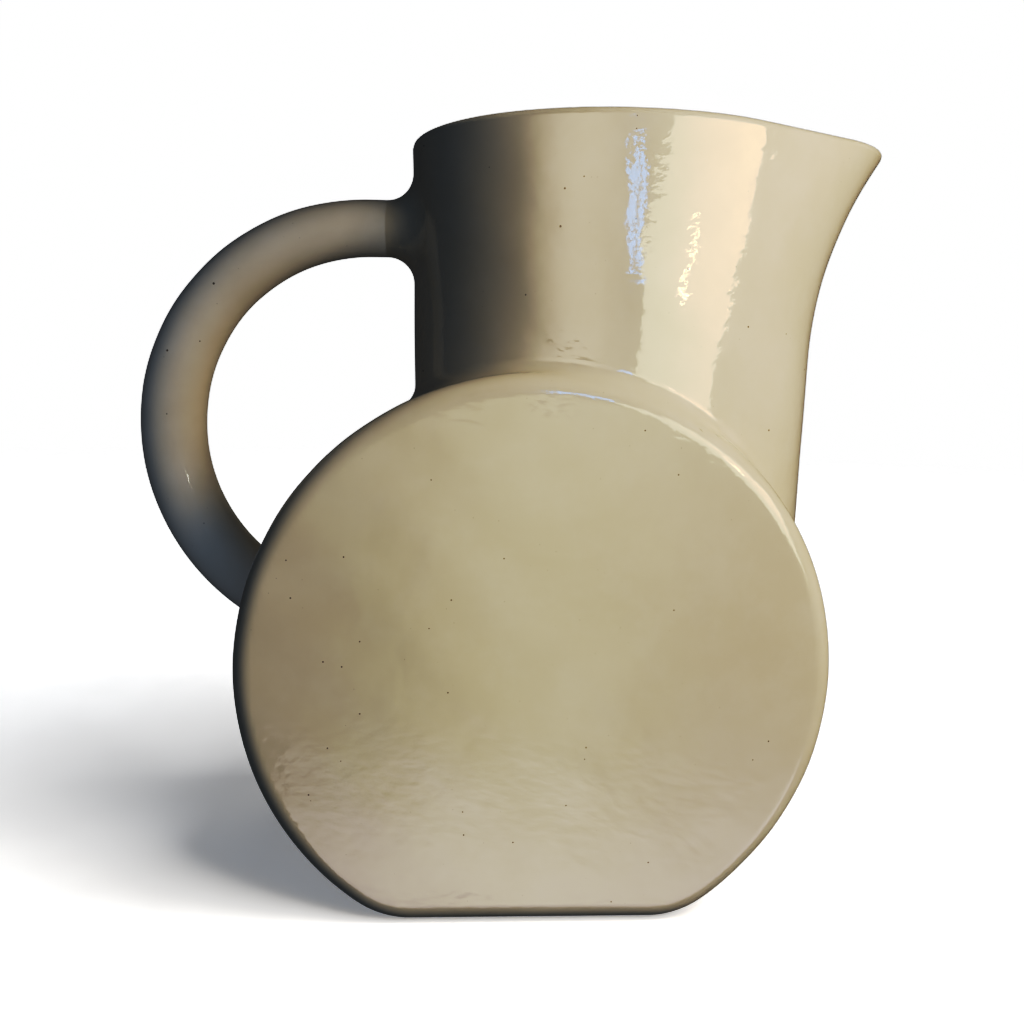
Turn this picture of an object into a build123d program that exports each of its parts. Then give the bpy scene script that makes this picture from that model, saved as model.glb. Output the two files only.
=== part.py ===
from build123d import *

import os
from math import asin, atan2, cos, pi, radians, sin, sqrt

# Millimetres. +Z is up, +X points to the pouring side, the handle is at -X, and the flat faces of
# the drum look along -Y and +Y. The origin is on the ground, under the centre of the drum.

# Drum: two flat round slabs with a band of wall between them, cut flat where it stands.
DRUM_RADIUS = 88.0
DRUM_THICKNESS = 106.0
DRUM_CENTRE_Z = 76.0
DISC_THICKNESS = 6.5
ARRIS_RADIUS = 6.0
FOOT_CORNER_RADIUS = 28.0
WALL = 5.0

# Neck: an oval tube, a little wider at the rim than at its foot.
NECK_CENTRE_X = 26.3
NECK_DEPTH_RATIO = 0.75
NECK_FOOT_Z = 88.0
NECK_SHOULDER_Z = 116.0
RIM_Z = 236.0
NECK_FOOT_HALF_WIDTH = 60.2
NECK_SHOULDER_HALF_WIDTH = 64.0
NECK_RIM_HALF_WIDTH = 65.9
LIP_ROUND = 2.0
BORE_BOTTOM_Z = 96.0
BORE_OVERRUN = 1.0

# Spout: the oval grows a blunt nose from FLARE_START_Z up to the rim.
FLARE_START_Z = 172.0
SPOUT_REACH = 20.7
SPOUT_TAPER_SINE = 0.54
FLARE_LEVELS = 4
SPOUT_SEAM_RIM_X = 62.0
SPOUT_SEAM_FOOT_X = 92.5
SPOUT_SEAM_FOOT_Z = 170.0

# Handle: a level stub out of the neck, then one wide arc down to the drum.
HANDLE_CENTRE_X = -52.5
HANDLE_CENTRE_Z = 144.7
HANDLE_ARC_RADIUS = 65.0
HANDLE_MIDDLE_ANGLE = 180.0
HANDLE_END_ANGLE = 242.0
HANDLE_TOP_THICKNESS = 17.6
HANDLE_SIDE_THICKNESS = 20.6
HANDLE_WIDTH = 21.0
HANDLE_ROOT_X = -34.0

# Luting: clay pressed into the joints.
NECK_LUTING_RADIUS = 3.2
NECK_LUTING_END_ANGLE = 28.0
NECK_LUTING_STEPS = 20
UPPER_LUTING_SIZE = 7.5
LOWER_LUTING_SIZE = 4.5
LOWER_LUTING_ANGLE = 236.0
LUTING_DEPTH = 12.0
COLLAR_LAP = 1.0

SECTION_POINTS = 36
REACH = 400.0

# The flat of the foot ends where the arc of each rounded corner touches the ground.
FOOT_HALF_WIDTH = sqrt((DRUM_RADIUS - FOOT_CORNER_RADIUS) ** 2 - (DRUM_CENTRE_Z - FOOT_CORNER_RADIUS) ** 2)


def drum_outline(inset=0.0):
    """The drum seen from the front: a circle cut flat at the ground, its two corners rounded."""
    with BuildSketch(Plane.XZ) as outline:
        with Locations((0, DRUM_CENTRE_Z)):
            Circle(DRUM_RADIUS)
        with Locations((0, 0)):
            Rectangle(REACH, REACH, align=(Align.CENTER, Align.MAX), mode=Mode.SUBTRACT)
        fillet(outline.vertices(), FOOT_CORNER_RADIUS)
        if inset:
            offset(amount=-inset, kind=Kind.INTERSECTION)
    return outline.sketch


def drum_envelope():
    """The drum's outside as one solid, with the rounded edge all the way round both faces."""
    body = extrude(drum_outline(), DRUM_THICKNESS / 2, both=True)
    edges = body.edges().group_by(Axis.Y)
    return fillet(edges[0] + edges[-1], ARRIS_RADIUS)


def slab(low_y, high_y):
    """Everything between two planes across Y."""
    return Pos(0, (low_y + high_y) / 2, 0) * Box(REACH, high_y - low_y, REACH * 2)


def flare(z):
    """How far the spout's nose stands beyond the oval at height z."""
    rise = max(0.0, (z - FLARE_START_Z) / (RIM_Z - FLARE_START_Z))
    return SPOUT_REACH * rise**2


def half_width(z):
    """Half the neck's width along X at height z, without the spout."""
    if z < NECK_SHOULDER_Z:
        share = (z - NECK_FOOT_Z) / (NECK_SHOULDER_Z - NECK_FOOT_Z)
        return NECK_FOOT_HALF_WIDTH + (NECK_SHOULDER_HALF_WIDTH - NECK_FOOT_HALF_WIDTH) * share
    share = (z - NECK_SHOULDER_Z) / (RIM_Z - NECK_SHOULDER_Z)
    return NECK_SHOULDER_HALF_WIDTH + (NECK_RIM_HALF_WIDTH - NECK_SHOULDER_HALF_WIDTH) * share


def section_point(angle, z, inset):
    """A point of the neck's section: the hull of an oval and the smaller oval of the nose."""
    main = half_width(z) - inset
    depth_ratio = (half_width(z) * NECK_DEPTH_RATIO - inset) / main
    shift = flare(z) / (1 - SPOUT_TAPER_SINE)
    nose = main - SPOUT_TAPER_SINE * shift
    tangent_angle = pi / 2 - asin(SPOUT_TAPER_SINE)
    nose_angle = atan2(nose * sin(tangent_angle), shift + nose * cos(tangent_angle))
    turn = abs(angle)
    if turn > tangent_angle:
        reach = main
    elif turn > nose_angle:
        reach = main / cos(tangent_angle - turn)
    else:
        reach = shift * cos(turn) + sqrt(nose**2 - (shift * sin(turn)) ** 2)
    return (NECK_CENTRE_X + reach * cos(angle), reach * sin(angle) * depth_ratio, z)


def neck_section(z, inset):
    """One level section of the neck as a closed curve."""
    angles = [2 * pi * i / SECTION_POINTS - pi for i in range(SECTION_POINTS)]
    curve = Spline([section_point(angle, z, inset) for angle in angles], periodic=True)
    return Face(Wire([curve]))


def neck_block(inset, foot_z, rim_z):
    """The neck as a solid block from foot_z to rim_z, with its wall moved in by inset."""
    below = [foot_z, NECK_SHOULDER_Z, (NECK_SHOULDER_Z + FLARE_START_Z) / 2]
    step = (RIM_Z - FLARE_START_Z) / FLARE_LEVELS
    above = [FLARE_START_Z + step * i for i in range(FLARE_LEVELS)]
    return loft([neck_section(z, inset) for z in below + above + [rim_z]])


def spout_side():
    """Everything on the spout's side of the slanted seam between spout and neck."""
    slope = (SPOUT_SEAM_RIM_X - SPOUT_SEAM_FOOT_X) / (RIM_Z - SPOUT_SEAM_FOOT_Z)
    top_z = RIM_Z + LIP_ROUND
    top_x = SPOUT_SEAM_RIM_X + slope * LIP_ROUND
    with BuildSketch(Plane.XZ) as side:
        with BuildLine():
            Polyline(
                (SPOUT_SEAM_FOOT_X, SPOUT_SEAM_FOOT_Z),
                (top_x, top_z),
                (REACH, top_z),
                (REACH, SPOUT_SEAM_FOOT_Z),
                close=True,
            )
        make_face()
    return extrude(side.sketch, REACH, both=True)


def handle_path():
    """The handle's centre line: a level stub, then one arc."""
    top = (HANDLE_CENTRE_X, 0, HANDLE_CENTRE_Z + HANDLE_ARC_RADIUS)
    stub = Line((HANDLE_ROOT_X, 0, top[2]), top)
    arc = ThreePointArc(top, handle_point(HANDLE_MIDDLE_ANGLE), handle_point(HANDLE_END_ANGLE))
    return Wire([stub, arc])


def handle_point(angle):
    """A point of the arc, with its angle in degrees from +X towards +Z."""
    x = HANDLE_CENTRE_X + HANDLE_ARC_RADIUS * cos(radians(angle))
    z = HANDLE_CENTRE_Z + HANDLE_ARC_RADIUS * sin(radians(angle))
    return (x, 0, z)


def handle_direction(angle):
    """The way the arc runs at that angle, from the neck towards the drum."""
    return (-sin(radians(angle)), 0, cos(radians(angle)))


def handle_section(point, direction, thickness):
    """One oval section across the handle."""
    plane = Plane(origin=point, x_dir=(0, 1, 0), z_dir=direction)
    return plane * Ellipse(HANDLE_WIDTH / 2, thickness / 2)


def handle_rod():
    """The whole rod, with its ends still running on into the neck and the drum."""
    root = (HANDLE_ROOT_X, 0, HANDLE_CENTRE_Z + HANDLE_ARC_RADIUS)
    sections = [handle_section(root, (-1, 0, 0), HANDLE_TOP_THICKNESS)]
    for angle in (HANDLE_MIDDLE_ANGLE, HANDLE_END_ANGLE):
        sections.append(handle_section(handle_point(angle), handle_direction(angle), HANDLE_SIDE_THICKNESS))
    return sweep(sections=sections, path=handle_path(), multisection=True)


def collar(point, direction, thickness, size):
    """A trumpet-shaped collar round the handle, which widens along direction as far as point."""
    inner = thickness / 2 - COLLAR_LAP
    middle = thickness / 2
    outer = thickness / 2 + size
    plane = Plane(origin=point, x_dir=(0, 1, 0), z_dir=direction)
    with BuildSketch(Plane.XZ) as profile:
        with BuildLine():
            Line((inner, -size), (middle, -size))
            RadiusArc((middle, -size), (outer, 0), size)
            Polyline((outer, 0), (outer, LUTING_DEPTH), (inner, LUTING_DEPTH), (inner, -size))
        make_face()
    return plane * revolve(profile.sketch, Axis.Z)


def neck_coil():
    """The clay coil along the corner where the neck stands on the drum."""
    points = []
    for i in range(NECK_LUTING_STEPS + 1):
        share = i / NECK_LUTING_STEPS
        angle = pi + radians(180 - NECK_LUTING_END_ANGLE) * (2 * share - 1)
        x, y, _ = section_point(angle, NECK_SHOULDER_Z, 0.0)
        past_edge = max(0.0, abs(y) - (DRUM_THICKNESS / 2 - ARRIS_RADIUS))
        radius = DRUM_RADIUS - ARRIS_RADIUS + sqrt(ARRIS_RADIUS**2 - past_edge**2)
        points.append((x, y, DRUM_CENTRE_Z + sqrt(radius**2 - x**2)))
    curve = Spline(points)
    start = Plane(origin=curve @ 0, z_dir=curve % 0)
    return sweep(start * Circle(NECK_LUTING_RADIUS), path=curve)


def build_parts():
    """Every piece by its name."""
    drum = drum_envelope()
    half = DRUM_THICKNESS / 2
    inner_half = half - DISC_THICKNESS
    neck = neck_block(0.0, NECK_FOOT_Z, RIM_Z)
    bore = neck_block(WALL, BORE_BOTTOM_Z, RIM_Z + BORE_OVERRUN)

    parts = {}
    parts["front_disc"] = drum & slab(-half, -inner_half)
    parts["back_disc"] = drum & slab(inner_half, half)

    ring = extrude(drum_outline() - drum_outline(WALL), inner_half, both=True)
    floor = Pos(0, 0, WALL / 2) * Box(2 * FOOT_HALF_WIDTH, 2 * inner_half, WALL)
    parts["drum_band"] = ring - floor - bore
    parts["base_slab"] = floor

    tube = neck - bore
    tube = fillet(tube.edges().group_by(Axis.Z)[-1], LIP_ROUND) - drum
    parts["neck_wall"] = tube - spout_side()
    parts["pouring_spout"] = tube & spout_side()

    rod = handle_rod()
    parts["handle"] = rod - neck - drum

    parts["neck_luting"] = neck_coil() - neck - drum
    stub_z = HANDLE_CENTRE_Z + HANDLE_ARC_RADIUS
    neck_side_x = NECK_CENTRE_X - half_width(stub_z)
    upper = collar((neck_side_x, 0, stub_z), (1, 0, 0), HANDLE_TOP_THICKNESS, UPPER_LUTING_SIZE)
    parts["handle_upper_luting"] = upper - neck - rod
    lower_point = handle_point(LOWER_LUTING_ANGLE)
    lower_way = handle_direction(LOWER_LUTING_ANGLE)
    lower = collar(lower_point, lower_way, HANDLE_SIDE_THICKNESS, LOWER_LUTING_SIZE)
    parts["handle_lower_luting"] = lower - drum - rod
    return parts


os.makedirs("parts", exist_ok=True)
for name, shape in build_parts().items():
    print(name, round(shape.volume), shape.is_valid, len(shape.solids()), shape.bounding_box())
    shape.label = name
    export_step(shape, f"parts/{name}.step")
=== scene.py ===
"""Looks for the ceramic pitcher: its glazed surface, its finishes, the light and the camera."""

import math
from collections import namedtuple

import bpy
import numpy as np
from mathutils import Matrix, Vector


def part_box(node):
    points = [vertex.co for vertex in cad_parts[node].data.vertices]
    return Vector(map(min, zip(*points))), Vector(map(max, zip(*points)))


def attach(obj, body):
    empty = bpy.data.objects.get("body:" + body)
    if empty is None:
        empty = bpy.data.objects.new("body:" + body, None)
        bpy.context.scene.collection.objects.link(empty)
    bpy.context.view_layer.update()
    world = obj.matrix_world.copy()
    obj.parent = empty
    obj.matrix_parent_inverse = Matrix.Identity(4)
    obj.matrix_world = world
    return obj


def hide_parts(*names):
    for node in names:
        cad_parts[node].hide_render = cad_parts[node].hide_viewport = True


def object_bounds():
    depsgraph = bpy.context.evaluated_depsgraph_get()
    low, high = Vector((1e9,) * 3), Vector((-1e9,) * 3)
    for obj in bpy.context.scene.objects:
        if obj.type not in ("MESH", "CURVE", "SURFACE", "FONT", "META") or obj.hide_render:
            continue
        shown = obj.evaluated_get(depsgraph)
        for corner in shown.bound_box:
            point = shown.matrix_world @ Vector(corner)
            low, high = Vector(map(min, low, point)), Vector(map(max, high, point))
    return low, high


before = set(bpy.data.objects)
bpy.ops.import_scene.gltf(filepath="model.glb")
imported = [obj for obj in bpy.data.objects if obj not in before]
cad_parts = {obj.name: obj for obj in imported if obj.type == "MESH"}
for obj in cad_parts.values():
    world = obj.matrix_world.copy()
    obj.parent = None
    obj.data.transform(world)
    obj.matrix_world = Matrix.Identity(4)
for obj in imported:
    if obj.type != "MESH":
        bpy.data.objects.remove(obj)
CAD_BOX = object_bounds()

MM = 0.001

# ---------------------------------------------------------------- sizes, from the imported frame
DISC_LOW, DISC_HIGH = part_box("front_disc")
NECK_LOW, NECK_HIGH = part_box("neck_wall")
SPOUT_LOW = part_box("pouring_spout")[0]
SLAB_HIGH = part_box("base_slab")[1]
HANDLE_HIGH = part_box("handle")[1]

DRUM_RADIUS = DISC_HIGH.x
DRUM_CENTRE_Z = DISC_HIGH.z - DRUM_RADIUS
HALF_THICKNESS = -DISC_LOW.y
SEAM_Y = -DISC_HIGH.y
FOOT_HALF_WIDTH = SLAB_HIGH.x
RIM_Z = NECK_HIGH.z

ARRIS_RADIUS = 6 * MM
FOOT_CORNER_RADIUS = 28 * MM
WALL = SLAB_HIGH.z
DISC_WALL = 5.6 * MM
INSIDE_ROUND = 4 * MM
LIP_ROUND = 2.1 * MM

# Neck: an oval that leans out a little towards the rim. Below SHOULDER_Z it also draws in, by
# SHOULDER_DRAW times the square of the depth.
NECK_DEPTH_RATIO = 0.75
NECK_RIM_HALF_WIDTH = 65.9 * MM
NECK_CENTRE_X = 26.3 * MM
NECK_LEAN = 0.0158
SHOULDER_Z = 116 * MM
SHOULDER_DRAW = 4.3
BORE_BOTTOM_Z = 96 * MM

# Spout: the oval grows a blunt nose from FLARE_START_Z up to the rim.
FLARE_START_Z = 172 * MM
SPOUT_REACH = 20.7 * MM
SPOUT_TAPER_SINE = 0.54
SPOUT_TAPER_COSINE = math.sqrt(1 - SPOUT_TAPER_SINE**2)
SPOUT_SEAM_RIM_X = SPOUT_LOW.x
SPOUT_SEAM_FOOT = (92.5 * MM, 170 * MM)

# Handle: a level stub out of the neck, then one wide arc down to the drum.
HANDLE_CENTRE = (-52.5 * MM, 144.7 * MM)
HANDLE_ARC_RADIUS = 65 * MM
HANDLE_TURN = math.radians(158)
HANDLE_ROOT_X = -34 * MM
HANDLE_TOP_THICKNESS = 17.6 * MM
HANDLE_SIDE_THICKNESS = 20.6 * MM
HANDLE_HALF_WIDTH = HANDLE_HIGH.y

# How softly the clay and the glaze fill each joint.
NECK_FILLET = 4 * MM
HANDLE_UPPER_FILLET = 8.5 * MM
HANDLE_LOWER_FILLET = 4 * MM
JOINT_SPLIT_Z = (130 * MM, 190 * MM)

# The unevenness of the hand-smoothed wall, which dies out towards the flat foot.
SLOW_WAVE = 0.16 * MM
QUICK_WAVE = 0.07 * MM
WAVE_START_Z = 20 * MM

# The cells that the clay is cut into. The shift keeps their corners off the flat faces, and LEAST_SLOPE
# keeps a point from being moved far where the distance field is nearly level.
CELL = 1.25 * MM
CELL_SHIFT = 0.013 * MM
MARGIN = 3 * MM
LEAST_SLOPE = 0.5


# ---------------------------------------------------------------- shape, as distance fields
def rounded_and(a, b, radius):
    """Where two walls meet at an outer edge, rounded to that radius."""
    u, v = a + radius, b + radius
    return np.minimum(np.maximum(u, v), 0) + np.hypot(np.maximum(u, 0), np.maximum(v, 0)) - radius


def filleted_or(a, b, radius):
    """Two bodies joined, with a hollow fillet of that radius between them."""
    u, v = np.maximum(radius - a, 0), np.maximum(radius - b, 0)
    return np.maximum(radius, np.minimum(a, b)) - np.hypot(u, v)


def smooth_step(value, low, high):
    """From 0 at low to 1 at high, level at both ends."""
    share = np.clip((value - low) / (high - low), 0, 1)
    return share * share * (3 - 2 * share)


def drum_outline(x, z):
    """The drum from the front: a circle with a flat foot, whose two corners are arcs."""
    x = np.abs(x)
    circle = np.hypot(x, z - DRUM_CENTRE_Z) - DRUM_RADIUS
    across, up = x - FOOT_HALF_WIDTH, z - FOOT_CORNER_RADIUS
    corner = np.hypot(across, up) - FOOT_CORNER_RADIUS
    corner_lean = FOOT_HALF_WIDTH / (DRUM_CENTRE_Z - FOOT_CORNER_RADIUS)
    in_corner = (across >= 0) & (up < 0) & (across <= -up * corner_lean)
    return np.where(in_corner, corner, np.where(across < 0, np.maximum(circle, -z), circle))


def drum_body(x, y, z):
    """The outside of the drum, with rounded edges on both faces."""
    return rounded_and(drum_outline(x, z), np.abs(y) - HALF_THICKNESS, ARRIS_RADIUS)


def drum_hollow(x, y, z):
    """The room inside the drum, one wall's thickness in from the outside."""
    side = np.abs(y) - (HALF_THICKNESS - DISC_WALL)
    return rounded_and(drum_outline(x, z) + WALL, side, INSIDE_ROUND)


def neck_tube(x, y, z, inset=0.0):
    """The neck as a block without top or bottom: the hull of an oval and of the nose's smaller oval."""
    draw = np.maximum(0, SHOULDER_Z - z)
    half = NECK_RIM_HALF_WIDTH - NECK_LEAN * (RIM_Z - z) - SHOULDER_DRAW * draw**2
    main = half - inset
    ratio = (half * NECK_DEPTH_RATIO - inset) / main
    rise = np.maximum(0, (z - FLARE_START_Z) / (RIM_Z - FLARE_START_Z))
    shift = SPOUT_REACH * rise**2 / (1 - SPOUT_TAPER_SINE)
    nose = main - SPOUT_TAPER_SINE * shift
    across, deep = x - NECK_CENTRE_X, np.abs(y) / ratio
    along = across * SPOUT_TAPER_COSINE - deep * SPOUT_TAPER_SINE
    on_main = along < 0
    on_nose = along > shift * SPOUT_TAPER_COSINE
    from_main, from_nose = np.hypot(across, deep), np.hypot(across - shift, deep)
    straight = across * SPOUT_TAPER_SINE + deep * SPOUT_TAPER_COSINE - main
    distance = np.where(on_main, from_main - main, np.where(on_nose, from_nose - nose, straight))
    near_main, near_nose = np.maximum(from_main, MM), np.maximum(from_nose, MM)
    way_x = np.where(on_nose, (across - shift) / near_nose, SPOUT_TAPER_SINE)
    way_x = np.where(on_main, across / near_main, way_x)
    way_y = np.where(on_nose, deep / near_nose, SPOUT_TAPER_COSINE)
    way_y = np.where(on_main, deep / near_main, way_y)
    return distance / np.hypot(way_x, way_y / ratio)


def neck_block(x, y, z):
    """The outside of the neck, from inside the drum upwards."""
    return np.maximum(neck_tube(x, y, z), DRUM_CENTRE_Z - z)


def handle_rod(x, y, z):
    """A rod of oval section along the stub and the arc, a little thinner where it leaves the neck."""
    centre_x, centre_z = HANDLE_CENTRE
    top_z = centre_z + HANDLE_ARC_RADIUS
    turn = (np.arctan2(z - centre_z, x - centre_x) - math.pi / 2) % (2 * math.pi)
    turn = np.where(turn > HANDLE_TURN / 2 + math.pi, 0, np.minimum(turn, HANDLE_TURN))
    arc_x = centre_x - HANDLE_ARC_RADIUS * np.sin(turn)
    arc_z = centre_z + HANDLE_ARC_RADIUS * np.cos(turn)
    from_arc = np.hypot(x - arc_x, z - arc_z)
    from_stub = np.hypot(x - np.clip(x, centre_x, HANDLE_ROOT_X), z - top_z)
    swell = np.where(from_arc < from_stub, smooth_step(turn, 0, math.pi / 2), 0)
    half = (HANDLE_TOP_THICKNESS + (HANDLE_SIDE_THICKNESS - HANDLE_TOP_THICKNESS) * swell) / 2
    aside = np.minimum(from_arc, from_stub)
    reach = np.hypot(aside / half, y / HANDLE_HALF_WIDTH)
    slope = np.hypot(aside / half**2, y / HANDLE_HALF_WIDTH**2)
    return np.where(reach > 0.2, (reach - 1) * reach / np.maximum(slope, 1), -half)


def hand_finish(x, y, z):
    """The slight unevenness of a wall smoothed by hand: low waves that cross each other."""
    slow = np.sin(61 * x + 23 * z + 0.7) * np.sin(47 * z - 31 * y + 2.1) * np.cos(53 * y + 19 * x + 1.3)
    quick = np.sin(131 * z + 67 * x + 0.4) * np.sin(113 * x - 89 * y + 71 * z + 1.9)
    return (SLOW_WAVE * slow + QUICK_WAVE * quick) * smooth_step(z, 0, WAVE_START_Z)


def hollow(x, y, z):
    """The room inside: the drum's hollow and the neck's bore, open at the rim."""
    bore = np.maximum(neck_tube(x, y, z, WALL), BORE_BOTTOM_Z - z)
    return filleted_or(drum_hollow(x, y, z), bore, NECK_FILLET)


def pitcher(x, y, z):
    """The whole fired body: below zero in the clay."""
    body = filleted_or(drum_body(x, y, z), neck_block(x, y, z), NECK_FILLET)
    share = smooth_step(z, *JOINT_SPLIT_Z)
    joint = HANDLE_LOWER_FILLET + (HANDLE_UPPER_FILLET - HANDLE_LOWER_FILLET) * share
    outside = filleted_or(body, handle_rod(x, y, z), joint)
    clay = np.maximum(outside + hand_finish(x, y, z), -hollow(x, y, z))
    return rounded_and(clay, z - RIM_Z, LIP_ROUND)


# ---------------------------------------------------------------- which piece each bit of clay is
PIECES = [
    "front_disc",
    "back_disc",
    "drum_band",
    "base_slab",
    "neck_wall",
    "pouring_spout",
    "handle",
    "neck_luting",
    "handle_upper_luting",
    "handle_lower_luting",
]
COIL_RADIUS = 4.6 * MM
COLLAR_LENGTH = {"upper": 9 * MM, "lower": 5 * MM}
COLLAR_SPREAD = {"upper": 8 * MM, "lower": 4.6 * MM}
COLLAR_LAP = 1.6 * MM
SHOULDER_LAP = 0.5 * MM


def piece_at(x, y, z):
    """The number in PIECES, from 1, of the piece that a point of the clay belongs to."""
    drum, neck, rod = drum_body(x, y, z), neck_block(x, y, z), handle_rod(x, y, z)
    number = {name: i + 1 for i, name in enumerate(PIECES)}
    seam_slope = (SPOUT_SEAM_RIM_X - SPOUT_SEAM_FOOT[0]) / (RIM_Z - SPOUT_SEAM_FOOT[1])
    seam_x = SPOUT_SEAM_RIM_X + seam_slope * (z - RIM_Z)
    found = np.full(x.shape, number["drum_band"], np.int8)
    found[y < -SEAM_Y] = number["front_disc"]
    found[y > SEAM_Y] = number["back_disc"]
    on_floor = (np.abs(x) < FOOT_HALF_WIDTH) & (z < WALL + INSIDE_ROUND) & (np.abs(y) < SEAM_Y)
    found[on_floor] = number["base_slab"]
    found[(drum > -SHOULDER_LAP) & (neck < drum) & (neck < rod)] = number["neck_wall"]
    found[(drum > 0) & (x > seam_x) & (z > SPOUT_SEAM_FOOT[1])] = number["pouring_spout"]
    found[np.hypot(drum, neck) < COIL_RADIUS] = number["neck_luting"]
    body = np.minimum(neck, drum)
    found[(rod < body) & (body > 0) & (x < NECK_LOW.x)] = number["handle"]
    on_handle_side = x < NECK_CENTRE_X - 0.5 * NECK_RIM_HALF_WIDTH
    ends = ("upper", neck, z > JOINT_SPLIT_Z[1]), ("lower", drum, z < JOINT_SPLIT_Z[0])
    for end, wall, beside in ends:
        close = (wall > -COLLAR_LAP) & (wall < COLLAR_LENGTH[end]) & (rod < COLLAR_SPREAD[end])
        found[beside & close & on_handle_side] = number[f"handle_{end}_luting"]
    return found


def every_piece():
    """Cuts the clay into cells, and finds the points and four-sided faces of its surface and seams.

    Each cell that the surface or a seam passes through holds one point, and neighbouring pieces share
    the points along their seam, so the pieces meet without a gap. Returns the points, whether each one
    is on the surface, the faces, and the numbers of the two pieces that each face parts, 0 for the air.
    """
    low = CAD_BOX[0] - Vector((MARGIN,) * 3)
    high = CAD_BOX[1] + Vector((MARGIN,) * 3)
    axes = [np.arange(a, b + CELL, CELL) + CELL_SHIFT for a, b in zip(low, high)]
    x, y, z = np.meshgrid(*axes, indexing="ij")
    depth = pitcher(x, y, z)
    label = np.where(depth < 0, piece_at(x, y, z), 0).astype(np.int8)

    cells = tuple(n - 1 for n in label.shape)
    corners = [(i, j, k) for i in (0, 1) for j in (0, 1) for k in (0, 1)]

    def at(grid, corner):
        return grid[tuple(slice(c, c + n) for c, n in zip(corner, cells))]

    first = at(label, corners[0])
    mixed = np.zeros(cells, bool)
    for corner in corners[1:]:
        mixed |= at(label, corner) != first
    place = np.argwhere(mixed)
    number = np.full(cells, -1, np.int64)
    number[mixed] = np.arange(len(place))

    total = np.zeros((len(place), 3))
    count = np.zeros(len(place))
    for axis in range(3):
        for corner in corners:
            if corner[axis]:
                continue
            other = tuple(c + (a == axis) for a, c in enumerate(corner))
            va, vb = at(depth, corner)[mixed], at(depth, other)[mixed]
            crossing = (va < 0) != (vb < 0)
            share = np.where(crossing, va / np.where(crossing, va - vb, 1), 0)
            spot = np.array(corner, float) + np.outer(share, np.eye(3)[axis])
            total += spot * crossing[:, None]
            count += crossing
    outside = count > 0
    spot = np.where(outside[:, None], total / np.maximum(count, 1)[:, None], 0.5)
    points = np.array([a[0] for a in axes]) + (place + spot) * CELL

    faces, sides = [], []
    for axis in range(3):
        u, v = (axis + 1) % 3, (axis + 2) % 3
        lower = [slice(1, -1)] * 3
        lower[axis] = slice(0, -1)
        upper = list(lower)
        upper[axis] = slice(1, None)
        a, b = label[tuple(lower)], label[tuple(upper)]
        edge = np.argwhere(a != b)
        pair = np.stack([a[a != b], b[a != b]], 1)
        edge[:, u] += 1
        edge[:, v] += 1
        ring = []
        for du, dv in ((1, 1), (0, 1), (0, 0), (1, 0)):
            cell = edge.copy()
            cell[:, u] -= du
            cell[:, v] -= dv
            ring.append(number[tuple(cell.T)])
        faces.append(np.stack(ring, 1))
        sides.append(pair)
    return points, outside, np.concatenate(faces), np.concatenate(sides)


def surface_slope(points):
    """The slope of the pitcher's distance field at each point, which leads straight out of the clay."""
    reach = 0.05 * MM
    slope = np.empty_like(points)
    for axis in range(3):
        step = np.eye(3)[axis] * reach
        slope[:, axis] = pitcher(*(points + step).T) - pitcher(*(points - step).T)
    slope /= 2 * reach
    return slope


def settle(points, rounds=3):
    """Moves points along the slope onto the pitcher's surface."""
    for _ in range(rounds):
        slope = surface_slope(points)
        size = np.maximum((slope**2).sum(1), LEAST_SLOPE**2)
        move = slope * (pitcher(*points.T) / size)[:, None]
        points = points - np.clip(move, -CELL, CELL)
    return points


def even_out(points, faces, chosen, held, rounds):
    """Draws each chosen point towards the middle of its neighbours along the given faces' edges."""
    edges = np.concatenate([faces[:, [i, (i + 1) % 4]] for i in range(4)])
    edges = np.unique(np.sort(edges, 1), axis=0)
    edges = edges[chosen[edges].all(1)]
    here, there = np.concatenate([edges, edges[:, ::-1]]).T
    count = np.bincount(here, minlength=len(points))
    moving = chosen & (count > 1) & ~held
    for _ in range(rounds):
        total = [np.bincount(here, points[there, axis], len(points)) for axis in range(3)]
        total = np.stack(total, 1)
        points[moving] += 0.5 * (total[moving] / count[moving][:, None] - points[moving])
    return points


def surface_bend(points, normals):
    """How sharply the surface bends at each point: up to 1 on an edge, down to -1 in a hollow joint."""
    reach = 1.2 * MM
    far = pitcher(*(points - reach * normals).T) + reach
    return np.clip(far / reach, -1, 1)


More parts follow.
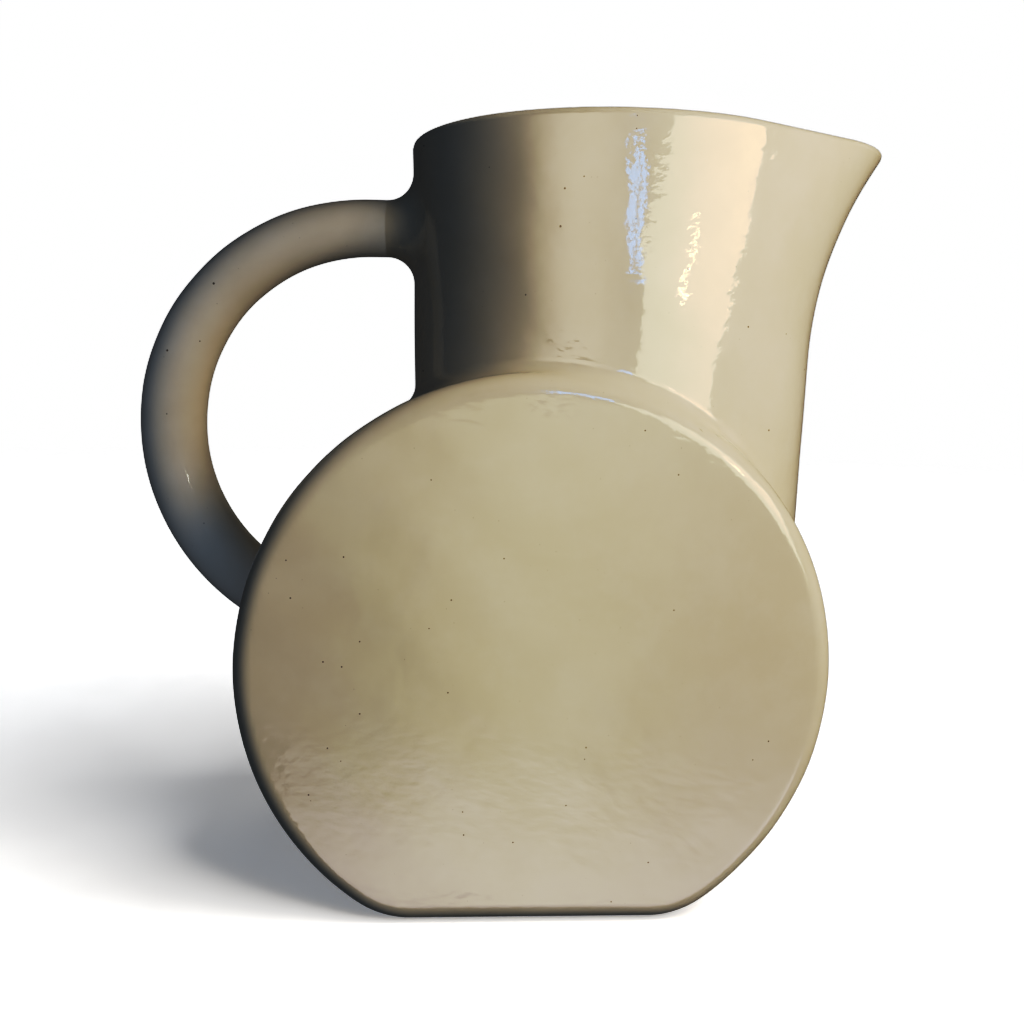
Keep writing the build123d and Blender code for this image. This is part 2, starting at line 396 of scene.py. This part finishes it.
def build_pieces():
    """One closed mesh for each piece of clay, all sharing the pitcher's one smooth surface."""
    points, outside, faces, sides = every_piece()
    skin = (sides == 0).any(1)
    on_skin = np.zeros(len(points), bool)
    on_skin[faces[skin].ravel()] = True
    on_seam = np.zeros(len(points), bool)
    on_seam[faces[~skin].ravel()] = True
    points[on_skin] = settle(points[on_skin])
    seam_line = on_skin & on_seam
    line_faces = faces[skin]
    nothing = np.zeros(len(points), bool)
    for _ in range(3):
        points = even_out(points, line_faces, seam_line, nothing, 4)
        points = even_out(points, line_faces, on_skin, seam_line, 1)
        points[on_skin] = settle(points[on_skin], 2)
    points = even_out(points, faces[~skin], on_seam, on_skin, 6)

    normals = np.zeros_like(points)
    normals[on_skin] = surface_slope(points[on_skin])
    normals /= np.maximum(np.linalg.norm(normals, axis=1), 1e-9)[:, None]
    bend = surface_bend(points, normals)

    made = {}
    for number, name in enumerate(PIECES, 1):
        mine = (sides == number).any(1)
        ring, pair = faces[mine], sides[mine]
        flip = pair[:, 1] == number
        ring = np.where(flip[:, None], ring[:, ::-1], ring)
        used, local = np.unique(ring, return_inverse=True)
        local = local.reshape(ring.shape)
        mesh = bpy.data.meshes.new(name + "_glazed")
        mesh.from_pydata(points[used].tolist(), [], local.tolist())
        mesh.update()
        mesh.shade_smooth()
        flat = np.zeros(len(mesh.polygons) * 3)
        mesh.polygons.foreach_get("normal", flat)
        on_outside = np.repeat((pair == 0).any(1), 4)[:, None]
        round_normals, flat_normals = normals[used][local.ravel()], np.repeat(flat.reshape(-1, 3), 4, 0)
        mesh.normals_split_custom_set(np.where(on_outside, round_normals, flat_normals).tolist())
        edge_bend = mesh.attributes.new("bend", "FLOAT", "POINT")
        edge_bend.data.foreach_set("value", bend[used].astype(np.float32))
        piece = bpy.data.objects.new(name + "_glazed", mesh)
        bpy.context.scene.collection.objects.link(piece)
        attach(piece, "root")
        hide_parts(name)
        made[name] = piece
    return made


# ---------------------------------------------------------------- finishes
GLAZE_LIGHT = (0.640, 0.575, 0.445, 1)
GLAZE_DEEP = (0.590, 0.525, 0.395, 1)
GLAZE_MILKY = (0.680, 0.625, 0.510, 1)
GLAZE_THIN = (0.620, 0.520, 0.370, 1)
GLAZE_POOLED = (0.560, 0.510, 0.385, 1)
SPECK = (0.075, 0.045, 0.028, 1)
CLAY_LIGHT = (0.52, 0.42, 0.30, 1)
CLAY_DARK = (0.40, 0.30, 0.20, 1)

LARGE_SPECK_RADIUS = 0.42 * MM
FINE_SPECK_RADIUS = 0.16 * MM
SPECK_DEPTH = 0.05 * MM
SWAY_HEIGHT = 0.20 * MM
RIPPLE_HEIGHT = 0.07 * MM
GRAIN_HEIGHT = 0.12 * MM

# A face of the foot that is this low and looks down this steeply is left unglazed.
FOOT_REACH = 0.4 * MM
FOOT_STEEPNESS = 0.7

# The places of the share and the two colours among a Mix node's sockets, and of its mixed colour.
MIX_INPUTS = (0, 6, 7)
MIX_RESULT = 2


class Nodes:
    """Short calls for building a node tree."""

    def __init__(self, tree):
        self.tree = tree
        self.tree.nodes.clear()

    def feed(self, socket, value):
        """Links a socket to another node's output, or sets its own value."""
        if hasattr(value, "is_output"):
            self.tree.links.new(value, socket)
        else:
            socket.default_value = value

    def add(self, kind, **sockets):
        node = self.tree.nodes.new(kind)
        for key, value in sockets.items():
            self.feed(node.inputs[key.replace("_", " ")], value)
        return node

    def noise(self, where, scale, detail=3.0, roughness=0.5, distortion=0.0):
        grain = {"Scale": scale, "Detail": detail, "Roughness": roughness, "Distortion": distortion}
        return self.add("ShaderNodeTexNoise", Vector=where, **grain).outputs["Fac"]

    def span(self, value, low, high, to_low=0.0, to_high=1.0, smooth=True):
        """Turns values from low to high into values from to_low to to_high, and holds the ends beyond."""
        limits = {"From_Min": low, "From_Max": high, "To_Min": to_low, "To_Max": to_high}
        node = self.add("ShaderNodeMapRange", Value=value, **limits)
        node.interpolation_type = "SMOOTHSTEP" if smooth else "LINEAR"
        return node.outputs["Result"]

    def mix(self, share, a, b):
        node = self.add("ShaderNodeMix")
        node.data_type = "RGBA"
        for index, value in zip(MIX_INPUTS, (share, a, b)):
            self.feed(node.inputs[index], value)
        return node.outputs[MIX_RESULT]

    def math(self, operation, *values):
        node = self.add("ShaderNodeMath")
        node.operation = operation
        for index, value in enumerate(values):
            self.feed(node.inputs[index], value)
        return node.outputs[0]

    def bump(self, height, distance, **normal):
        return self.add("ShaderNodeBump", Height=height, Distance=distance, **normal).outputs["Normal"]

    def blend(self, share, a, b):
        """One shader turning into another."""
        node = self.add("ShaderNodeMixShader")
        for index, value in enumerate((share, a.outputs[0], b.outputs[0])):
            self.feed(node.inputs[index], value)
        return node

    def show(self, shader, kind="ShaderNodeOutputMaterial"):
        self.add(kind, Surface=shader.outputs[0])


def new_material(name):
    """A material, its nodes, and the place on the object in metres."""
    material = bpy.data.materials.new(name)
    material.use_nodes = True
    nodes = Nodes(material.node_tree)
    return material, nodes, nodes.add("ShaderNodeTexCoord").outputs["Object"]


def specks(nodes, where, scale, share, radius):
    """Small round iron specks, in a share of the cells of a Voronoi texture: 1 in a speck, else 0."""
    cells = nodes.add("ShaderNodeTexVoronoi", Vector=where, Scale=scale)
    pick = nodes.add("ShaderNodeSeparateColor", Color=cells.outputs["Color"])
    chosen = nodes.span(pick.outputs[0], 1 - share, 1 - share + 0.01)
    size = nodes.span(pick.outputs[1], 0.0, 1.0, 0.5 * radius * scale, radius * scale, smooth=False)
    inside = nodes.math("SUBTRACT", size, cells.outputs["Distance"])
    edge = nodes.span(inside, 0.0, 0.25 * radius * scale)
    return nodes.math("MULTIPLY", edge, chosen)


def glaze_material():
    """Glossy cream glaze: slow drifts of tone, iron specks, and a faintly rippled surface.

    It is thinner on edges and pooled in hollows. The coat is its gloss, and the body under it is duller.
    The scales of its textures are cells per metre.
    """
    material, nodes, where = new_material("cream_glaze")
    attribute = nodes.add("ShaderNodeAttribute")
    attribute.attribute_name = "bend"
    bend = attribute.outputs["Fac"]

    drift = nodes.noise(where, 14.0, 4.0, 0.55, 0.6)
    mottle = nodes.noise(where, 85.0, 3.0, 0.6)
    colour = nodes.mix(nodes.span(drift, 0.35, 0.65), GLAZE_DEEP, GLAZE_LIGHT)
    colour = nodes.mix(nodes.span(mottle, 0.4, 0.75, 0.0, 0.22), colour, GLAZE_MILKY)
    colour = nodes.mix(nodes.span(bend, 0.15, 0.9, 0.0, 0.4), colour, GLAZE_THIN)
    colour = nodes.mix(nodes.span(bend, -0.1, -0.9, 0.0, 0.5), colour, GLAZE_POOLED)
    large = specks(nodes, where, 200.0, 0.30, LARGE_SPECK_RADIUS)
    fine = specks(nodes, where, 420.0, 0.20, FINE_SPECK_RADIUS)
    colour = nodes.mix(nodes.math("MULTIPLY", fine, 0.45), colour, SPECK)
    colour = nodes.mix(nodes.math("MULTIPLY", large, 0.9), colour, SPECK)

    drawn = nodes.add("ShaderNodeMapping", Vector=where, Scale=(0.8, 0.8, 1.2)).outputs["Vector"]
    ripple = nodes.noise(drawn, 330.0, 2.0, 0.5)
    sway = nodes.noise(where, 70.0, 2.0, 0.5, 0.3)
    surface = nodes.bump(sway, SWAY_HEIGHT)
    surface = nodes.bump(ripple, RIPPLE_HEIGHT, Normal=surface)
    surface = nodes.bump(nodes.math("SUBTRACT", 1.0, large), SPECK_DEPTH, Normal=surface)
    under_gloss = nodes.span(nodes.noise(where, 40.0, 4.0, 0.6), 0.3, 0.75, 0.30, 0.42)

    body = {"Base_Color": colour, "Roughness": under_gloss, "Specular_IOR_Level": 0.15}
    coat = {"Coat_Weight": 1.0, "Coat_Roughness": 0.05, "Coat_IOR": 1.5, "Coat_Normal": surface}
    nodes.show(nodes.add("ShaderNodeBsdfPrincipled", **body, **coat))
    return material


def clay_material():
    """The wiped, unglazed foot: matte buff clay with sandy grains."""
    material, nodes, where = new_material("bare_clay")
    patches = nodes.noise(where, 30.0, 5.0, 0.6)
    grains = nodes.noise(where, 1400.0, 2.0, 0.7)
    colour = nodes.mix(nodes.span(patches, 0.35, 0.7), CLAY_DARK, CLAY_LIGHT)
    colour = nodes.mix(nodes.span(grains, 0.62, 0.75, 0.0, 0.5), colour, SPECK)
    surface = nodes.bump(grains, GRAIN_HEIGHT)
    rough = nodes.span(patches, 0.3, 0.7, 0.78, 0.92)
    nodes.show(nodes.add("ShaderNodeBsdfPrincipled", Base_Color=colour, Roughness=rough, Normal=surface))
    return material


def glaze_pieces(pieces):
    """Gives every piece its glaze, and leaves the foot bare."""
    glaze, clay = glaze_material(), clay_material()
    for name, piece in pieces.items():
        mesh = piece.data
        mesh.materials.append(glaze)
        mesh.materials.append(clay)
        bare = mesh.materials.find(clay.name)
        for face in mesh.polygons:
            if face.center.z < FOOT_REACH and face.normal.z < -FOOT_STEEPNESS:
                face.material_index = bare


# ---------------------------------------------------------------- stage, light and camera
CENTRE = Vector((0, 0, RIM_Z / 2))

FLOOR_RADIUS = 2.5
FLOOR_FADE = (0.5, 2.2)
FLOOR_LIGHT = (0.89, 0.89, 0.89, 1)
FLOOR_DARK = (0.86, 0.86, 0.86, 1)
FLOOR_GLOW = 0.21
WHITE = (1, 1, 1, 1)
ROOM_COLOUR = (0.80, 0.88, 1.0, 1)
ROOM_GLOW = 0.05

# Lamps stand round the pitcher and face its middle. Azimuth 0 is in front, at -Y, and 90 is on the
# spout's side, at +X. Angles are in degrees, distance and size in metres, and power in watts. A lamp is
# either only mirrored in the glaze, or only lights the clay under its gloss.
Lamp = namedtuple("Lamp", "azimuth elevation distance size power colour")
WINDOW_COLOUR = (1.0, 0.94, 0.54)
SKY_COLOUR = (0.08, 0.42, 1.0)
BACK_COLOUR = (1.0, 0.97, 0.92)
MIRRORED_LAMPS = {
    "window": Lamp(38, 12.3, 1.2, (1.30, 0.47), 11.5, WINDOW_COLOUR),
    "window_foot": Lamp(29.1, -1.5, 1.2, (0.727, 0.115), 1.57, WINDOW_COLOUR),
    "window_glint": Lamp(32, 10.3, 1.15, (0.17, 0.10), 0.8, (1.0, 0.97, 0.80)),
    "sky_gap_left": Lamp(7.5, 13.9, 1.2, (0.052, 0.17), 0.36, SKY_COLOUR),
    "sky_gap_right": Lamp(11.2, 13.9, 1.2, (0.052, 0.17), 0.36, SKY_COLOUR),
    "upper_card": Lamp(-17, 14, 1.1, (1.15, 0.46), 7.0, (1.0, 0.85, 0.62)),
    "front_card": Lamp(4, -17, 1.0, (0.66, 0.70), 3.2, WINDOW_COLOUR),
    "table_card": Lamp(12, -34, 1.0, (0.95, 0.42), 3.3, (0.96, 0.82, 0.86)),
}
CLAY_LAMPS = {
    "high_key": Lamp(50, 35, 0.60, (0.20, 0.25), 1.20, (1.0, 0.96, 0.88)),
    "near_key": Lamp(43, 18, 0.50, (0.18, 0.22), 1.24, (1.0, 0.86, 0.66)),
    "front_fill": Lamp(18, 5, 1.0, (0.40, 0.40), 1.10, (0.36, 0.58, 1.0)),
    "left_fill": Lamp(-35, 10, 1.3, (0.50, 0.50), 0.6, (0.42, 0.60, 1.0)),
    "handle_fill": Lamp(-15, -4, 1.0, (0.30, 0.30), 1.5, (0.50, 0.64, 1.0)),
    "high_back": Lamp(165, 50, 1.3, (0.50, 0.65), 0.6, BACK_COLOUR),
    "side_card": Lamp(128, 8, 1.2, (0.90, 0.60), 2.2, (1.0, 0.94, 0.86)),
    "back_fill": Lamp(178, 8, 1.3, (0.60, 0.60), 7.5, BACK_COLOUR),
}
SUN_PLACE = (62, 50, 1.5)
SUN_STRENGTH = 3.9
SUN_SPREAD = math.radians(40)

# The window's parts are cut to shape. Their left and right sides are each given by two heights up the
# lamp and by the side's place across it at each of them, all as shares of the lamp's size.
WINDOW_SIDES = {
    "window": ((0.42, 0.88, 0.05, 0.27), (0.0, 1.0, 0.62, 1.07)),
    "window_foot": ((0.0, 1.0, 0.42, 0.0), (0.0, 1.0, 1.0, 1.0)),
    "window_glint": ((0.0, 1.0, 0.0, 0.80), (0.0, 1.0, 0.2, 1.0)),
}

# The camera's place is given in drum radii from the pitcher's foot, and its turns in radians.
CAMERA_PLACE = DRUM_RADIUS * Vector((-0.248, -3.454, 1.807))
CAMERA_YAW, CAMERA_PITCH, CAMERA_ROLL = 0.054, 0.135, 0.021
CAMERA_LENS = 31.71

# What the picture shows for each brightness: a little more contrast in the shadows and soft lights.
TONES = [
    (0.12, 0.055),
    (0.20, 0.14),
    (0.30, 0.295),
    (0.45, 0.485),
    (0.65, 0.645),
    (0.80, 0.75),
    (0.90, 0.86),
]
ALL_COLOURS = 3


def stand(item, azimuth, elevation, distance):
    """Adds a lamp to the scene, in its place round the pitcher and facing the pitcher's middle."""
    a, e = math.radians(azimuth), math.radians(elevation)
    away = distance * Vector((math.sin(a) * math.cos(e), -math.cos(a) * math.cos(e), math.sin(e)))
    turned = (-away).to_track_quat("-Z", "Y").to_matrix().to_4x4()
    item.matrix_world = Matrix.Translation(CENTRE + away) @ turned
    bpy.context.scene.collection.objects.link(item)


def softbox(name, lamp, mirrored):
    """A rectangular lamp that is either only mirrored in the glaze, or only lights the clay."""
    light = bpy.data.lights.new(name, "AREA")
    light.shape = "RECTANGLE"
    light.size, light.size_y = lamp.size
    light.energy = lamp.power
    light.color = lamp.colour
    item = bpy.data.objects.new(name, light)
    stand(item, lamp.azimuth, lamp.elevation, lamp.distance)
    item.visible_glossy = mirrored
    item.visible_diffuse = not mirrored
    return item


def lamp_nodes(item):
    """A lamp's own nodes, with the places across and up its face, each from 0 to 1."""
    item.data.use_nodes = True
    nodes = Nodes(item.data.node_tree)
    face = nodes.add("ShaderNodeNewGeometry").outputs["Parametric"]
    place = nodes.add("ShaderNodeSeparateXYZ", Vector=face)
    return nodes, place.outputs["X"], place.outputs["Y"]


def glow(nodes, strength):
    nodes.show(nodes.add("ShaderNodeEmission", Strength=strength), "ShaderNodeOutputLight")


def fade_sides(item):
    """Makes a lamp brightest along its upright middle, and fades it to nothing at both sides."""
    nodes, across, _ = lamp_nodes(item)
    off_middle = nodes.math("ABSOLUTE", nodes.math("SUBTRACT", across, 0.5))
    glow(nodes, nodes.span(off_middle, 0.5, 0.0))


def fade_head(item):
    """Fades a lamp to nothing towards its head."""
    nodes, _, up = lamp_nodes(item)
    glow(nodes, nodes.span(up, 1.0, 0.45))


def lean_sides(item, left_lean, right_lean):
    """Cuts a lamp to a shape, with a curved left side and a straight right side."""
    nodes, across, up = lamp_nodes(item)
    left = nodes.span(up, *left_lean)
    right = nodes.span(up, *right_lean, smooth=False)
    past_left = nodes.math("GREATER_THAN", across, left)
    before_right = nodes.math("LESS_THAN", across, right)
    glow(nodes, nodes.math("MULTIPLY", past_left, before_right))


def floor_material():
    """A pale floor, lit a little by the pale room, that fades into the surroundings."""
    material, nodes, where = new_material("pale_floor")
    length = nodes.add("ShaderNodeVectorMath")
    length.operation = "LENGTH"
    nodes.feed(length.inputs[0], where)
    grain = nodes.span(nodes.noise(where, 60.0), 0.3, 0.7)
    colour = nodes.mix(grain, FLOOR_DARK, FLOOR_LIGHT)
    glow_of_room = {"Emission_Color": WHITE, "Emission_Strength": FLOOR_GLOW}
    ground = nodes.add("ShaderNodeBsdfPrincipled", Base_Color=colour, Roughness=0.9, **glow_of_room)
    clear = nodes.add("ShaderNodeBsdfTransparent")
    nodes.show(nodes.blend(nodes.span(length.outputs["Value"], *FLOOR_FADE), ground, clear))
    return material


def make_floor():
    """A pale round floor, with finer rings near the pitcher, that only the camera sees."""
    rings, spokes = 24, 96
    verts = [(0, 0, 0)]
    for i in range(1, rings + 1):
        reach = FLOOR_RADIUS * (i / rings) ** 2
        for j in range(spokes):
            turn = 2 * math.pi * j / spokes
            verts.append((reach * math.cos(turn), reach * math.sin(turn), 0))
    faces = [(0, 1 + j, 1 + (j + 1) % spokes) for j in range(spokes)]
    for i in range(rings - 1):
        a, b = 1 + i * spokes, 1 + (i + 1) * spokes
        faces += [(a + j, b + j, b + (j + 1) % spokes, a + (j + 1) % spokes) for j in range(spokes)]
    mesh = bpy.data.meshes.new("floor")
    mesh.from_pydata(verts, [], faces)
    mesh.materials.append(floor_material())
    floor = bpy.data.objects.new("floor", mesh)
    bpy.context.scene.collection.objects.link(floor)
    floor.visible_glossy = False
    floor.visible_diffuse = False
    floor.visible_shadow = False
    return floor


def make_world():
    """Pale surroundings for the eye, and a dim cool room for the light."""
    world = bpy.data.worlds.new("studio")
    bpy.context.scene.world = world
    world.use_nodes = True
    nodes = Nodes(world.node_tree)
    seen = nodes.add("ShaderNodeBackground", Color=WHITE, Strength=1.0)
    room = nodes.add("ShaderNodeBackground", Color=ROOM_COLOUR, Strength=ROOM_GLOW)
    eye = nodes.add("ShaderNodeLightPath").outputs["Is Camera Ray"]
    nodes.show(nodes.blend(eye, room, seen), "ShaderNodeOutputWorld")


def shine_only_on(lamp, receivers):
    """Lets a lamp light the given things and nothing else."""
    lit = bpy.data.collections.new(lamp.name + "_lights")
    for item in receivers:
        lit.objects.link(item)
    lamp.light_linking.receiver_collection = lit


def make_sun(floor):
    """A soft overhead light that lays the pitcher's shadow on the floor."""
    sun = bpy.data.lights.new("overhead", "SUN")
    sun.energy = SUN_STRENGTH
    sun.angle = SUN_SPREAD
    item = bpy.data.objects.new("overhead", sun)
    stand(item, *SUN_PLACE)
    shine_only_on(item, [floor])


def make_lights(floor, pieces):
    """A low window on the spout's side, a slim gap of sky beside it, soft cards in front, and dim fill.

    The handle and its collars mirror only the window's small glint. The handle has a fill of its own.
    """
    mirrored = {name: softbox(name, lamp, mirrored=True) for name, lamp in MIRRORED_LAMPS.items()}
    on_clay = {name: softbox(name, lamp, mirrored=False) for name, lamp in CLAY_LAMPS.items()}
    for name, sides in WINDOW_SIDES.items():
        lean_sides(mirrored[name], *sides)
    for name in ("upper_card", "front_card"):
        fade_sides(mirrored[name])
    fade_head(mirrored["table_card"])

    vessel = [piece for name, piece in pieces.items() if not name.startswith("handle")]
    neck = [pieces[name] for name in ("neck_wall", "pouring_spout", "neck_luting")]
    for name in ("window", "window_foot", "sky_gap_left", "sky_gap_right", "front_card", "table_card"):
        shine_only_on(mirrored[name], vessel)
    shine_only_on(mirrored["upper_card"], neck)
    shine_only_on(on_clay["high_key"], vessel)
    shine_only_on(on_clay["handle_fill"], [pieces["handle"]])
    shine_only_on(on_clay["back_fill"], pieces.values())
    make_sun(floor)


def make_camera():
    """Close to the pitcher, left of its middle, level with the drum's top, and looking slightly down."""
    level = Vector((math.cos(CAMERA_YAW), -math.sin(CAMERA_YAW), 0))
    ahead = Vector((math.sin(CAMERA_YAW), math.cos(CAMERA_YAW), 0))
    forward = ahead * math.cos(CAMERA_PITCH) - Vector((0, 0, math.sin(CAMERA_PITCH)))
    upright = level.cross(forward)
    right = level * math.cos(CAMERA_ROLL) + upright * math.sin(CAMERA_ROLL)
    up = right.cross(forward)
    camera = bpy.data.cameras.new("camera")
    camera.sensor_width = 36
    camera.lens = CAMERA_LENS
    camera.clip_start = 0.01
    item = bpy.data.objects.new("camera", camera)
    bpy.context.scene.collection.objects.link(item)
    turned = Matrix((right, up, -forward)).transposed().to_4x4()
    item.matrix_world = Matrix.Translation(CAMERA_PLACE) @ turned
    bpy.context.scene.camera = item


def make_picture():
    """Colours straight to the screen, through the curve of TONES."""
    view = bpy.context.scene.view_settings
    view.view_transform = "Standard"
    view.use_curve_mapping = True
    curve = view.curve_mapping.curves[ALL_COLOURS]
    for bright, shown in TONES:
        curve.points.new(bright, shown)
    view.curve_mapping.update()


# ---------------------------------------------------------------- put together
pieces = build_pieces()
glaze_pieces(pieces)
make_world()
make_lights(make_floor(), pieces)
make_camera()
make_picture()
